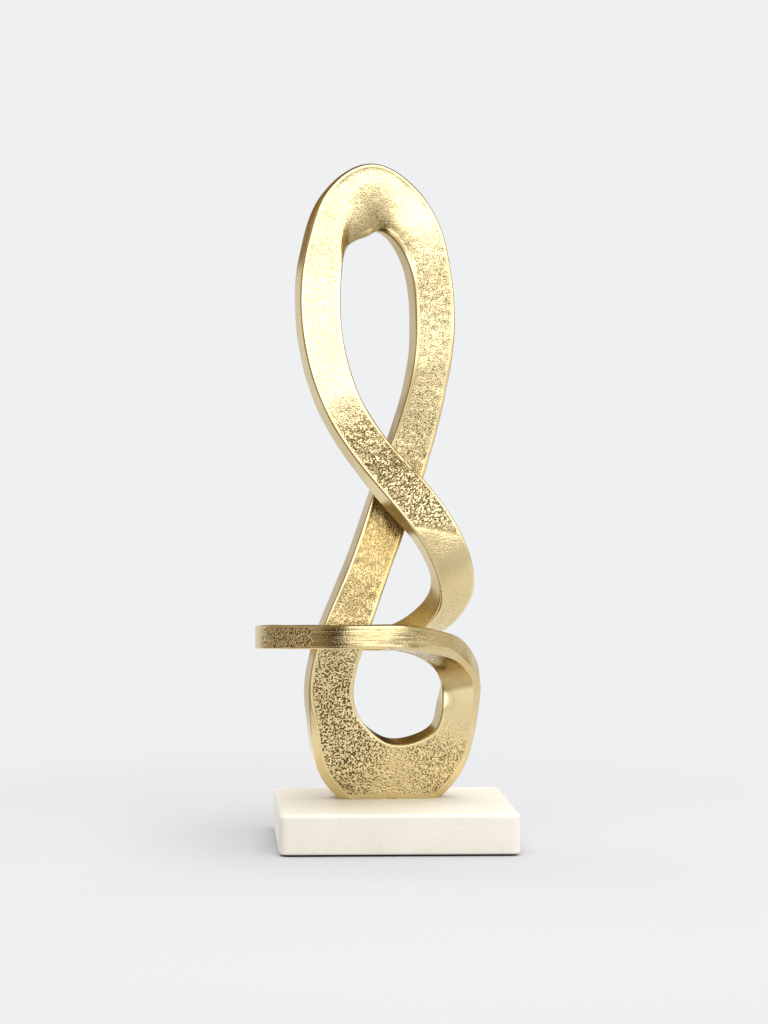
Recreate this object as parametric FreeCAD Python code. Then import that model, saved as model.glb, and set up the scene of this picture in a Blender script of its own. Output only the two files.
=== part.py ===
import FreeCAD, Part
import math
import os
from FreeCAD import Vector

# Marble slab on its liner. The origin is the middle of the liner's underside, +X is the right of
# the sculpture seen from the front, and +Y is its back.
base_width = 120.0
base_depth = 90.0
base_thickness = 20.0
base_corner_radius = 4.0
base_top_rounding = 2.0
base_bottom_rounding = 1.2
pad_thickness = 1.0
pad_inset = 1.5

# Cast ribbon: the overall sizes that its stations follow, and its section
knot_height = 323.5
knot_width = 100.0
ribbon_width = 20.0
ribbon_thickness = 12.0
edge_chamfer = 1.0

# Level ring that the rising strand passes through
ring_diameter = 100.0
ring_face_width = 22.0
ring_tilt_degrees = 5.5
ring_centre_share = -0.215
ring_height_share = 0.240

# Fixings: a threaded stud in each end of the foot, clamped by a nut inside the slab
stud_diameter = 5.0
stud_spacing = 30.0
stud_engagement = 10.0
stud_tail = 1.5
stud_end_chamfer = 0.6
stud_hole_spare_depth = 1.0
foot_turn_degrees = 5.0
foot_middle_y = 10.4
thread_clearance = 0.05
base_hole_diameter = 6.0
counterbore_diameter = 15.0
counterbore_depth = 8.0
washer_diameter = 10.0
washer_thickness = 1.0
washer_bore_clearance = 0.15
nut_across_flats = 8.0
nut_thickness = 4.0
nut_corner_chamfer = 0.4
overrun = 5.0
edge_tolerance = 0.001

base_top = pad_thickness + base_thickness

# Stations along the ribbon in the order that it runs, each at the middle of the face that looks
# forward. A row holds the place as shares of knot_width, ring_diameter and knot_height, the turn of
# the face to the right and its nod downwards in degrees, the face's width as a share of
# ribbon_width, and the ground bevel on its outer edge, across the face and into it, as shares of
# ribbon_thickness.
foot_to_curl_shares = [
    (0.000, 0.035, 0.026, 5, 10, 2.05, 0.25, 0.12),
    (-0.215, 0.005, 0.063, 7, 10, 1.80, 0.35, 0.15),
    (-0.300, -0.025, 0.121, 10, 6, 1.30, 0.25, 0.12),
    (-0.324, -0.040, 0.179, 11, 3, 1.18, 0.08, 0.08),
    (-0.264, -0.045, 0.260, 11, 0, 1.20, 0.08, 0.08),
    (-0.151, -0.005, 0.352, 12, 0, 1.09, 0.08, 0.08),
    (0.012, 0.075, 0.492, 9, 0, 1.13, 0.08, 0.08),
    (0.120, 0.085, 0.597, 12, 0, 1.05, 0.08, 0.08),
    (0.183, 0.075, 0.683, 14, 0, 1.01, 0.08, 0.08),
    (0.199, 0.070, 0.773, 13, 0, 1.06, 0.08, 0.08),
    (0.162, 0.050, 0.853, 16, 0, 1.10, 0.08, 0.08),
    (0.060, 0.020, 0.918, 14, -4, 1.30, 0.08, 0.08),
    (-0.122, -0.010, 0.950, 5, 1, 1.72, 0.08, 0.08),
    (-0.254, -0.035, 0.927, 6, 0, 1.57, 0.08, 0.08),
    (-0.344, -0.060, 0.890, 12, 1, 1.12, 0.08, 0.08),
    (-0.391, -0.080, 0.832, 13, 0, 1.04, 0.08, 0.08),
    (-0.393, -0.095, 0.754, 13, 0, 1.05, 0.08, 0.08),
    (-0.330, -0.105, 0.662, 14, -5, 1.02, 0.08, 0.08),
    (-0.215, -0.115, 0.590, 13, -10, 1.00, 0.08, 0.08),
    (-0.061, -0.125, 0.529, 15, -15, 1.04, 0.08, 0.08),
    (0.065, -0.120, 0.486, 15, -15, 1.10, 0.08, 0.08),
    (0.200, -0.095, 0.432, 13, -9, 1.06, 0.08, 0.08),
    (0.294, -0.060, 0.371, 13, 0, 1.01, 0.08, 0.08),
    (0.319, -0.010, 0.332, 23, 12, 0.97, 0.08, 0.08),
]
# Where the curl runs into the ring and where the ring leaves for the foot, the first number is
# measured from the middle of the ring, as a share of ring_diameter.
into_ring_shares = [
    (0.497, 0.080, 0.292, 35, 48, 0.92, 0.08, 0.08),
]
out_of_ring_shares = [
    (0.391, -0.185, 0.233, -37, 48, 0.97, 0.13, 0.33),
    (0.500, -0.065, 0.211, -22, 24, 0.90, 0.20, 0.12),
]
ring_angles = [50, 90, 135, 180, 225, 270, 298]
ring_to_foot_shares = [
    (0.338, -0.020, 0.184, -7, 10, 1.01, 0.30, 0.20),
    (0.342, 0.000, 0.142, 11, 5, 1.00, 0.30, 0.20),
    (0.313, 0.015, 0.101, 9, 7, 1.08, 0.20, 0.12),
    (0.214, 0.030, 0.058, 7, 10, 1.56, 0.25, 0.12),
]
spacing_power_share = 0.7


def face_normal(turn_degrees, nod_degrees):
    """Direction that a face looks in: straight forward, turned to the right, then nodded down."""
    turn = math.radians(turn_degrees)
    nod = math.radians(nod_degrees)
    return Vector(math.sin(turn) * math.cos(nod), -math.cos(turn) * math.cos(nod), -math.sin(nod))


def listed_stations(rows, middle_x, spread):
    """Stations of one table: middle_x is where its first numbers start, and spread is their whole."""
    stations = []
    for x, y, z, turn, nod, width, bevel_width, bevel_depth in rows:
        stations.append({
            "centre": Vector(middle_x + x * spread, y * ring_diameter, base_top + z * knot_height),
            "normal": face_normal(turn, nod),
            "width": width * ribbon_width,
            "bevel_width": bevel_width * ribbon_thickness,
            "bevel_depth": bevel_depth * ribbon_thickness,
        })
    return stations


def ring_stations(middle_x):
    """The ring is level but for a small tilt, and its forward face looks down."""
    tilt = math.radians(ring_tilt_degrees)
    middle_radius = (ring_diameter - ring_face_width) / 2
    stations = []
    for angle in ring_angles:
        x = middle_radius * math.cos(math.radians(angle))
        y = middle_radius * math.sin(math.radians(angle))
        stations.append({
            "centre": Vector(middle_x + x, y,
                             base_top + ring_height_share * knot_height - y * math.tan(tilt)),
            "normal": Vector(0, -math.sin(tilt), -math.cos(tilt)),
            "width": ring_face_width,
            "bevel_width": edge_chamfer,
            "bevel_depth": edge_chamfer,
        })
    return stations


def station_frame(before, here, after):
    """Direction across the ribbon and the true normal, square to the way that the ribbon runs."""
    arriving = here["centre"] - before["centre"]
    leaving = after["centre"] - here["centre"]
    along = arriving * (leaving.Length / arriving.Length) + leaving * (arriving.Length / leaving.Length)
    along.normalize()
    normal = here["normal"] - along * here["normal"].dot(along)
    normal.normalize()
    return along.cross(normal), normal


def section_corners(station, across, normal):
    """Eight corners of the section: a chamfered rectangle whose outer front edge has its own bevel."""
    half = station["width"] / 2
    front_inner = station["centre"] + across * half
    front_outer = station["centre"] - across * half
    back_inner = front_inner - normal * ribbon_thickness
    back_outer = front_outer - normal * ribbon_thickness
    return [
        front_inner - across * edge_chamfer,
        front_inner - normal * edge_chamfer,
        back_inner + normal * edge_chamfer,
        back_inner - across * edge_chamfer,
        back_outer + across * edge_chamfer,
        back_outer + normal * edge_chamfer,
        front_outer - normal * station["bevel_depth"],
        front_outer + across * station["bevel_width"],
    ]


def ribbon_stations():
    ring_middle = ring_centre_share * knot_width
    stations = listed_stations(foot_to_curl_shares, 0, knot_width)
    stations += listed_stations(into_ring_shares, ring_middle, ring_diameter)
    stations += ring_stations(ring_middle)
    stations += listed_stations(out_of_ring_shares, ring_middle, ring_diameter)
    stations += listed_stations(ring_to_foot_shares, 0, knot_width)
    return stations


def ribbon_edges():
    """One closed smooth edge through each corner of the sections, all on the same parameters."""
    stations = ribbon_stations()
    count = len(stations)
    corner_lists = [[] for corner in range(8)]
    parameters = [0.0]
    for index, station in enumerate(stations):
        after = stations[(index + 1) % count]
        across, normal = station_frame(stations[index - 1], station, after)
        for points, corner in zip(corner_lists, section_corners(station, across, normal)):
            points.append(corner)
        step = (after["centre"] - station["centre"]).Length
        parameters.append(parameters[-1] + step ** spacing_power_share)
    edges = []
    for points in corner_lists:
        curve = Part.BSplineCurve()
        curve.interpolate(Points=points, PeriodicFlag=True, Parameters=parameters)
        edges.append(curve.toShape())
    return edges


def closed_ribbon():
    edges = ribbon_edges()
    faces = []
    for index, edge in enumerate(edges):
        faces.append(Part.makeRuledSurface(edge, edges[(index + 1) % len(edges)]))
    shell = Part.makeShell(faces)
    shell.sewShape()
    solid = Part.makeSolid(shell)
    if solid.Volume < 0:
        solid.reverse()
    return solid


def stud_places():
    """Stud axes in the foot, left then right, on a line that is turned with the foot."""
    turn = math.radians(foot_turn_degrees)
    places = []
    for side in (-1, 1):
        reach = side * stud_spacing / 2
        places.append(Vector(reach * math.cos(turn), foot_middle_y + reach * math.sin(turn), 0))
    return places


def upright_cylinder(diameter, place, bottom, top):
    return Part.makeCylinder(diameter / 2, top - bottom, Vector(place.x, place.y, bottom))


def knot_casting():
    ribbon = closed_ribbon()
    box = ribbon.BoundBox
    below = Part.makeBox(box.XLength + 2 * overrun, box.YLength + 2 * overrun, base_top - box.ZMin + overrun,
                         Vector(box.XMin - overrun, box.YMin - overrun, box.ZMin - overrun))
    casting = ribbon.cut(below)
    hole_top = base_top + stud_engagement + stud_hole_spare_depth
    for place in stud_places():
        hole = upright_cylinder(stud_diameter + 2 * thread_clearance, place, base_top - overrun, hole_top)
        casting = casting.cut(hole)
    return casting.Solids[0]


def rounded_slab(width, depth, bottom, top, corner_radius):
    slab = Part.makeBox(width, depth, top - bottom, Vector(-width / 2, -depth / 2, bottom))
    corners = [edge for edge in slab.Edges if edge.Vertexes[0].Z != edge.Vertexes[1].Z]
    return slab.makeFillet(corner_radius, corners)


def rim_edges(solid, height):
    """Edges that lie wholly in the flat face at this height."""
    for face in solid.Faces:
        box = face.BoundBox
        if abs(box.ZMin - height) + abs(box.ZMax - height) < edge_tolerance:
            return face.Edges
    return []


def marble_base():
    slab = rounded_slab(base_width, base_depth, pad_thickness, base_top, base_corner_radius)
    slab = slab.makeFillet(base_top_rounding, rim_edges(slab, base_top))
    slab = slab.makeFillet(base_bottom_rounding, rim_edges(slab, pad_thickness))
    for place in stud_places():
        slab = slab.cut(upright_cylinder(base_hole_diameter, place, pad_thickness - overrun, base_top + overrun))
        slab = slab.cut(upright_cylinder(counterbore_diameter, place, pad_thickness - overrun,
                                         pad_thickness + counterbore_depth))
    return slab


def felt_pad():
    return rounded_slab(base_width - 2 * pad_inset, base_depth - 2 * pad_inset, 0, pad_thickness,
                        base_corner_radius)


def stud(place):
    nut_bottom = pad_thickness + counterbore_depth - washer_thickness - nut_thickness
    rod = upright_cylinder(stud_diameter, place, nut_bottom - stud_tail, base_top + stud_engagement)
    ends = [edge for edge in rod.Edges if edge.Closed]
    return rod.makeChamfer(stud_end_chamfer, ends)


def washer(place):
    top = pad_thickness + counterbore_depth
    disc = upright_cylinder(washer_diameter, place, top - washer_thickness, top)
    bore = upright_cylinder(stud_diameter + 2 * washer_bore_clearance, place, top - washer_thickness - overrun,
                            top + overrun)
    return disc.cut(bore)


def nut(place):
    top = pad_thickness + counterbore_depth - washer_thickness
    bottom = top - nut_thickness
    corner_radius = nut_across_flats / 2 / math.cos(math.radians(30))
    corners = []
    for index in range(7):
        angle = math.radians(60 * index)
        corners.append(Vector(place.x + corner_radius * math.cos(angle),
                              place.y + corner_radius * math.sin(angle), bottom))
    prism = Part.Face(Part.makePolygon(corners)).extrude(Vector(0, 0, nut_thickness))
    turned = upright_cylinder(2 * corner_radius, place, bottom, top)
    rims = [edge for edge in turned.Edges if edge.Closed]
    blank = prism.common(turned.makeChamfer(nut_corner_chamfer, rims))
    bore = upright_cylinder(stud_diameter + 2 * thread_clearance, place, bottom - overrun, top + overrun)
    return blank.cut(bore)


def all_pieces():
    pieces = {
        "knot_casting": knot_casting(),
        "marble_base": marble_base(),
        "felt_pad": felt_pad(),
    }
    for side, place in zip(("left", "right"), stud_places()):
        pieces[side + "_stud"] = stud(place)
        pieces[side + "_washer"] = washer(place)
        pieces[side + "_nut"] = nut(place)
    return pieces


os.makedirs("parts", exist_ok=True)
for name, shape in all_pieces().items():
    shape.exportStep("parts/" + name + ".step")
    print(name, len(shape.Solids), shape.isValid(), round(shape.Volume, 1))
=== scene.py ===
import math

import bmesh
import bpy
import numpy as np
from mathutils import Matrix, Vector, noise


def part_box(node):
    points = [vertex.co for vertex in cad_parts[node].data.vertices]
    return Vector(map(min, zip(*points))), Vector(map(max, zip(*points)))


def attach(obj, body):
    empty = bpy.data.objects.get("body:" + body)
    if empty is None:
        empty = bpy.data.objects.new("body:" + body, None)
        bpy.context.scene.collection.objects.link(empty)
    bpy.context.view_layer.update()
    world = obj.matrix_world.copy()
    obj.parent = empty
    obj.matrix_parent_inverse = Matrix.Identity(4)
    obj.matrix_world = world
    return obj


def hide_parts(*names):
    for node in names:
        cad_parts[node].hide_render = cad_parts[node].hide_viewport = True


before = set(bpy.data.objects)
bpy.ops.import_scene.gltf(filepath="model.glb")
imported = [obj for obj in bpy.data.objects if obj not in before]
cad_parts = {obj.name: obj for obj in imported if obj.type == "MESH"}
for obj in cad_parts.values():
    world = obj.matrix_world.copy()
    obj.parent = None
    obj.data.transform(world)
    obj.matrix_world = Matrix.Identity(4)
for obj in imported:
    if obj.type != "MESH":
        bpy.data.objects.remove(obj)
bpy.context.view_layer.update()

# Real sizes in metres, as the casting and its base were made
MM = 0.001
BASE_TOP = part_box("marble_base")[1].z
KNOT_HEIGHT = 323.5 * MM
KNOT_WIDTH = 100 * MM
RIBBON_WIDTH = 20 * MM
RIBBON_THICKNESS = 12 * MM
EDGE_CHAMFER = 1.0 * MM
RING_DIAMETER = 100 * MM
RING_FACE_WIDTH = 22 * MM
RING_TILT = math.radians(5.5)
RING_CENTRE_SHARE = -0.215
RING_HEIGHT_SHARE = 0.240

# How the curve is drawn through the stations: the power of the gap between two that spaces them, and
# how many times finer than the skin's rings its length is measured
SPACING_POWER = 0.7
MEASURED_FINER = 8

# Stations along the ribbon in the order that it runs, each at the middle of the face that looks
# forward. Place as shares of the knot's width, the ring's diameter and the knot's height; turn of the
# face to the right and nod downwards in degrees; face width as a share of the ribbon's width; ground
# bevel of the outer edge across the face and into it, as shares of the thickness. The last three say
# how strong the cast grain is on the wide faces, how coarse it is, and how much the outer side has.
FOOT_TO_CURL_SHARES = [
    (0.000, 0.035, 0.026, 5, 10, 2.05, 0.25, 0.12, 0.6, 0.5, 0.0),
    (-0.215, 0.005, 0.063, 7, 10, 1.80, 0.35, 0.15, 1.0, 0.7, 0.0),
    (-0.300, -0.025, 0.121, 10, 6, 1.30, 0.25, 0.12, 1.0, 0.7, 0.0),
    (-0.324, -0.040, 0.179, 11, 3, 1.18, 0.08, 0.08, 1.0, 0.6, 0.0),
    (-0.264, -0.045, 0.260, 11, 0, 1.20, 0.08, 0.08, 0.8, 0.5, 0.0),
    (-0.151, -0.005, 0.352, 12, 0, 1.09, 0.08, 0.08, 0.7, 0.35, 0.0),
    (0.012, 0.075, 0.492, 9, 0, 1.13, 0.08, 0.08, 0.7, 0.35, 0.0),
    (0.120, 0.085, 0.597, 12, 0, 1.05, 0.08, 0.08, 0.8, 0.4, 0.0),
    (0.183, 0.075, 0.683, 14, 0, 1.01, 0.08, 0.08, 0.7, 0.3, 0.0),
    (0.199, 0.070, 0.773, 13, 0, 1.06, 0.08, 0.08, 0.7, 0.4, 0.0),
    (0.162, 0.050, 0.853, 16, 0, 1.10, 0.08, 0.08, 0.65, 0.4, 0.0),
    (0.060, 0.020, 0.918, 14, -4, 1.30, 0.08, 0.08, 0.4, 0.3, 0.0),
    (-0.122, -0.010, 0.950, 5, 1, 1.72, 0.08, 0.08, 0.6, 0.3, 0.0),
    (-0.254, -0.035, 0.927, 6, 0, 1.57, 0.08, 0.08, 0.6, 0.2, 0.0),
    (-0.344, -0.060, 0.890, 12, 1, 1.12, 0.08, 0.08, 0.7, 0.3, 0.0),
    (-0.391, -0.080, 0.832, 13, 0, 1.04, 0.08, 0.08, 0.75, 0.3, 0.0),
    (-0.393, -0.095, 0.754, 13, 0, 1.05, 0.08, 0.08, 0.6, 0.25, 0.0),
    (-0.330, -0.105, 0.662, 14, -5, 1.02, 0.08, 0.08, 0.55, 0.25, 0.0),
    (-0.215, -0.115, 0.590, 13, -10, 1.00, 0.08, 0.08, 0.75, 0.6, 0.0),
    (-0.061, -0.125, 0.529, 15, -15, 1.04, 0.08, 0.08, 1.0, 1.0, 0.0),
    (0.065, -0.120, 0.486, 15, -15, 1.10, 0.08, 0.08, 1.0, 1.0, 0.0),
    (0.200, -0.095, 0.432, 13, -9, 1.06, 0.08, 0.08, 0.9, 0.9, 0.0),
    (0.294, -0.060, 0.371, 13, 0, 1.01, 0.08, 0.08, 0.2, 0.3, 0.0),
    (0.319, -0.010, 0.332, 23, 12, 0.97, 0.08, 0.08, 0.2, 0.3, 0.1),
]
# Next to the ring, the first number is measured from its middle, as a share of its diameter.
INTO_RING_SHARES = [(0.497, 0.080, 0.292, 35, 48, 0.92, 0.08, 0.08, 0.4, 0.3, 0.2)]
OUT_OF_RING_SHARES = [
    (0.391, -0.185, 0.233, -37, 48, 0.97, 0.13, 0.33, 0.9, 0.5, 0.25),
    (0.500, -0.065, 0.211, -22, 24, 0.90, 0.20, 0.12, 0.0, 0.3, 0.2),
]
RING_TO_FOOT_SHARES = [
    (0.338, -0.020, 0.184, -7, 10, 1.01, 0.30, 0.20, 0.0, 0.3, 0.0),
    (0.342, 0.000, 0.142, 11, 5, 1.00, 0.30, 0.20, 0.1, 0.4, 0.0),
    (0.313, 0.015, 0.101, 9, 7, 1.08, 0.20, 0.12, 0.5, 0.5, 0.0),
    (0.214, 0.030, 0.058, 7, 10, 1.56, 0.25, 0.12, 0.8, 0.6, 0.0),
]
# Stations of the ring: angle in degrees, grain on its faces, how coarse, and grain on its outer side
RING_STATIONS = [
    (50, 0.6, 0.4, 0.1),
    (90, 0.7, 0.4, 0.1),
    (135, 0.7, 0.4, 0.1),
    (180, 0.7, 0.5, 0.1),
    (225, 0.7, 0.6, 0.1),
    (270, 0.7, 0.5, 0.1),
    (298, 0.8, 0.5, 0.2),
]

# How finely the casting's skin is divided along the ribbon and round its section
RINGS = 1130
FRONT_POINTS = 25
BACK_POINTS = 19
SIDE_POINTS = 13
CORNER_SHARES = (0.0, 0.15, 0.5, 0.85)
CREASE_LINE_SHARES = (0.0, 0.4, 0.7, 1.0)
WIDEST_BORDER_SHARE = 0.3
SKIN_DOUBLE = 0.001 * MM
GRID_HALF = 0.5

# An outer edge goes from rounded to ground flat as its bevel grows between these times the chamfer
FLAT_BEVEL_TIMES = (1.2, 2.0)

# The grain starts a little way in from each edge, nearer to it where it is coarse. It lies in a shallow
# recess, which has its full depth from half the grain's strength on, and it stays off the strip just
# above the base, where the foot leans in a little
CREASE_BORDER = 0.8 * MM
BORDER_TIMES_WHERE_FINEST = 1.3
CREASE_SLOPE = 0.8 * MM
GRAIN_RECESS = 0.22 * MM
FULL_RECESS_GRAIN = 0.5
FOOT_STRIP = 2.6 * MM
FOOT_STRIP_LEAN = 0.1 * MM

# Unevenness that the hand-finished casting keeps: waves on all its skin, and lumps under the grain,
# which are low where it is fine. The noise is stretched until it nearly reaches from -1 to 1
WAVE_HEIGHT = 0.16 * MM
WAVE_LENGTH = 14 * MM
LUMP_HEIGHT = 0.20 * MM
LUMP_LENGTH = 3.2 * MM
LUMP_SHARE_WHERE_FINE = 0.4
NOISE_STRETCH = 1.6

# The ring's outer side is pitted on one stretch and lightly speckled on another, the crinkles of the
# front crossing end in a slanting line, and the curl past them is nearly plain. Stretches are shares of
# the ribbon's length from the middle of the foot, and their ends change over slowly or sharply
PITTED_SHARES = (0.787, 0.8225)
SPECKLED_SHARES = (0.858, 0.915)
SPECKLED_STRENGTH = 0.25
CRINKLE_END_SHARE = 0.571
CRINKLE_END_SLANT_SHARE = 0.020
CRINKLE_END_CHANGE_SHARE = 0.003
CURL_END_SHARE = 0.62
CURL_GRAIN = 0.12
SLOW_CHANGE_SHARE = 0.012
SHARP_CHANGE_SHARE = 0.0015

# Brush lines: the stretch of the ring's outer side with the strongest, and how strong they are on the
# other narrow sides and on the wide faces
BRUSHED_SHARES = (0.8225, 0.868)
BRUSHED_SIDE = 0.2
BRUSHED_FACE = 0.06

# Painted shade and dark reflection in the gold, at shares of the ribbon's length: on the face where it
# leans back, on the curl, and from the ring to the foot; on the bevel where it leaves the ring; and on
# the side that looks into a hole, which is the outer side in the loop and the inner side above the foot
PAINTED_SHADE_SHARES = (
    0.100, 0.130, 0.155, 0.190, 0.212,
    0.571, 0.580, 0.660, 0.690,
    0.862, 0.875, 0.898, 0.908, 0.926, 0.9285, 0.960, 0.975)
PAINTED_SHADE_STRENGTHS = (
    0.0, 0.47, 0.64, 0.60, 0.0,
    0.0, 0.15, 0.15, 0.0,
    0.0, 0.25, 0.30, 0.6, 0.6, 0.10, 0.10, 0.0)
LOOP_HOLE_SHARES = (0.04, 0.06, 0.46, 0.50)
LOWER_HOLE_SHARES = (0.92, 0.94, 0.975, 0.99)
BEVEL_PAINTED_SHADE_SHARES = (0.85, 0.87, 0.93, 0.95)
SIDE_PAINTED_SHADES = (0.0, 0.3, 0.3, 0.0)

# Dish in the face at the top of the loop, from a soft upright ridge to where it fades on the right. It is
# deepest at the hole, where shade and a dark reflection are painted into the gold. Left of the ridge the
# grain is dressed down
DISH_RIDGE_X = -30.5 * MM
DISH_RIDGE_WIDTH = 7.0 * MM
DISH_FADE_X = -16 * MM
DISH_FADE_WIDTH = 36 * MM
DISH_LOW_Z = 286 * MM
DISH_RISE = 16 * MM
DISH_DEPTH = 4.5 * MM
DISH_REACH_SHARE = 0.85
DISH_POWER = 2.3
DISH_PAINTED_SHADE = 0.6
RIDGE_DRESSED = 0.2
RIDGE_DRESSED_Z = (225 * MM, 300 * MM)

# Where a Mix node takes its two numbers or its two colours, and where it gives the mixed colour
FIRST_NUMBER, SECOND_NUMBER = 2, 3
FIRST_COLOUR, SECOND_COLOUR = 6, 7
MIXED_COLOUR = 2

# The noise of a pattern mostly lies between these, from its lowest places to its highest
NOISE_LOW = 0.3
NOISE_HIGH = 0.7

# Cast grain: real sizes of its pebbles and crinkles, and the levels of their noise between which they
# rise. Ranges named for coarseness say where the pebbles grow larger and higher, where they turn to
# crinkles, and where the shade painted into the pits grows lighter. A pit lies where the noise is below
# its edge. Of two sizes, edges or strengths of painted pit shade, the first is for the finer grain and
# the second for the coarser
PEBBLE_SIZES = (0.75 * MM, 0.9 * MM)
PEBBLE_DETAIL = 0.7
PEBBLE_HEIGHT = 0.42 * MM
PEBBLE_TOPS = (0.36, 0.56)
PEBBLE_HEIGHT_WHERE_FINE = 0.12
LARGER_COARSENESS = (0.40, 0.55)
HIGHER_COARSENESS = (0.3, 0.7)
CRINKLED_COARSENESS = (0.72, 0.92)
LIGHTER_PIT_SHADE_COARSENESS = (0.7, 1.0)
CRINKLE_WIDTH = 0.75 * MM
CRINKLE_LENGTH = 1.5 * MM
CRINKLE_HEIGHT = 0.37 * MM
CRINKLE_TOPS = (0.30, 0.58)
CRINKLE_NOISE = {"Scale": 1.0, "Detail": 1.5, "Roughness": 0.5, "Distortion": 0.7}
# How much shade is painted into the pits, for the finer grain and the coarser
PIT_PAINTED_SHADE = (0.92, 0.82)
PIT_EDGE = (0.455, 0.47)
PIT_SOFTNESS = 0.07
GRAIN_ROUGHNESS = 0.20

# Brush lines of the ground sides, and the gold itself, which varies a little over the casting
BRUSH_WIDTH = 0.9 * MM
BRUSH_LENGTH = 16 * MM
BRUSH_HEIGHT = 0.12 * MM
BRUSH_NOISE = {"Scale": 1.0, "Detail": 3.0, "Roughness": 0.6, "Distortion": 0.25}
STREAK_EDGE = (0.40, 0.60)
# How much shade is painted into the deepest brush lines
STREAK_PAINTED_SHADE = 0.6
BRUSHED_ROUGHNESS = (0.16, 0.30)
GOLD_CHANGE = 30 * MM
GOLD_DETAIL = 2.0
GOLD_PALE = "#e8d6a6"
GOLD_DEEP = "#dcc694"
# Colour of the shade painted into the pits and the deepest brush lines
GOLD_PIT_SHADE = "#42310b"
# Colour of the shade and dark reflection painted onto some stretches
GOLD_PAINTED_SHADE = "#7d601c"

# Marble: clouds, thin veins and the faint marks of honing
MARBLE_CLOUD = 45 * MM
MARBLE_CLOUD_NOISE = {"Detail": 4.0, "Roughness": 0.55}
MARBLE_VEIN = 70 * MM
MARBLE_VEIN_NOISE = {"Detail": 5.0, "Roughness": 0.6, "Distortion": 1.2}
MARBLE_VEIN_EDGES = (0.488, 0.5, 0.512)
MARBLE_VEIN_STRENGTH = 0.12
MARBLE_TOOLING = 3.5 * MM
MARBLE_TOOLING_HEIGHT = 0.012 * MM
MARBLE_TOOLING_DETAIL = 3.0
MARBLE_ROUGHNESS = (0.32, 0.42)
MARBLE_IOR = 1.49
MARBLE_SPECULAR = 0.25
MARBLE_PALE = "#f3eee1"
MARBLE_WARM = "#ece6d6"
MARBLE_GREY = "#c9c2b4"

# Felt: its fibres and nap
FELT_FIBRE = 0.5 * MM
FELT_NAP = 0.15 * MM
FELT_NOISE = {"Detail": 5.0, "Roughness": 0.7, "Distortion": 2.0}
FELT_EDGES = (0.35, 0.7)
FELT_BLACK = "#141416"
FELT_GREY = "#2c2b2d"
FELT_ROUGHNESS = 0.95
FELT_SHEEN = {"Sheen Weight": 0.25, "Sheen Roughness": 0.5}

# Zinc plating over turned and stamped steel
ZINC_GRAIN = 0.9 * MM
ZINC_GRAIN_SCALE = (1.0, 1.0, 6.0)
ZINC_DETAIL = 3.0
ZINC_MARK = 0.02 * MM
ZINC_GREY = "#b9bcc0"
ZINC_PALE = "#d3d5d8"
ZINC_ROUGHNESS = (0.24, 0.44)

# Studio air and floor. The floor fades out to the background's tone between two distances from the knot.
# Mirror rays see the floor glowing in that tone instead of lit, and painted brighter near the base by
# this much: a painted pool of light that only reflections show
STUDIO_PALE = "#eff0f2"
AMBIENT = 0.12
AMBIENT_WHITE = "#ffffff"
FLOOR_PALE = "#c0c0c2"
FLOOR_ROUGHNESS = 0.9
FLOOR_MIRRORED_GLOW = 0.3
FLOOR_SIZE = 12.0
FLOOR_FADE = (0.24, 0.42)

# Camera, fitted to the corners of the base: its place, how it is turned to the right, nodded and rolled
CAMERA_PLACE = (-0.105, -1.249, 0.220)
CAMERA_TURN = math.radians(4.52)
CAMERA_NOD = math.radians(2.34)
CAMERA_ROLL = math.radians(0.54)
CAMERA_LENS = 86.5
CAMERA_SENSOR = 36.0

# Lamps: degrees from straight in front to the right and upwards, distance from the knot's middle, size,
# and how bright each shows in a mirror. The first three are bands of one wide soft panel: the bright one
# in its middle, the dimmer one above and the low one. The metal doesn't mirror the small side lamp
KNOT_MIDDLE = (0, 0, 0.18)
LAMPS = {
    "key_softbox": {"turn": 22.5, "rise": 10.5, "away": 2.5, "size": (3.98, 0.37), "brightness": 2.8},
    "upper_softbox": {"turn": 22.5, "rise": 23.7, "away": 2.5, "size": (3.98, 0.84), "brightness": 1.3},
    "low_softbox": {"turn": 22.5, "rise": 3.5, "away": 2.5, "size": (3.98, 0.35), "brightness": 1.0},
    "overhead_softbox": {"turn": 0, "rise": 89, "away": 2.5, "size": (4.0, 4.0), "brightness": 3.4},
    "side_lamp": {
        "turn": 89, "rise": 6.5, "away": 6.0, "size": (0.32, 0.20), "brightness": 200, "mirrored": False},
}

# Cards round the knot that glow evenly in their colour and that only its metal mirrors, standing for
# dimmer parts of the room in its reflections: from which turn to which, how far out and how high the
# bends of the profile lie, and the colour. The left ones also lie on the floor as far as the base
CARD_STEPS = 32
FLOOR_AND_WALL = ((0.17, 0.002), (0.9, 0.002), (1.45, 0.05), (1.45, 2.0))
CARDS = {
    "tan_card": {"turns": (-132, -38), "profile": FLOOR_AND_WALL, "colour": "#b5a68e"},
    "dark_card": {"turns": (-38, -16), "profile": FLOOR_AND_WALL, "colour": "#4a3a14"},
    "grey_card": {"turns": (66, 130), "profile": ((1.45, 0.02), (1.45, 1.2)), "colour": "#cbbd9f"},
    "right_card": {"turns": (152, 172), "profile": ((2.4, 0.02), (2.4, 1.6)), "colour": "#3d3115"},
    "back_card": {"turns": (172, 215), "profile": ((2.4, 0.62), (2.4, 1.6)), "colour": "#8a6c36"},
}
CEILING_HEIGHT = 1.6
CEILING_SIZE = 5.0
CEILING_BROWN = "#5a4a2c"


def face_normal(turn_degrees, nod_degrees):
    """Direction that a face looks in: straight forward, turned to the right, then nodded down."""
    turn = math.radians(turn_degrees)
    nod = math.radians(nod_degrees)
    return np.array([math.sin(turn) * math.cos(nod), -math.cos(turn) * math.cos(nod), -math.sin(nod)])


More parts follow.
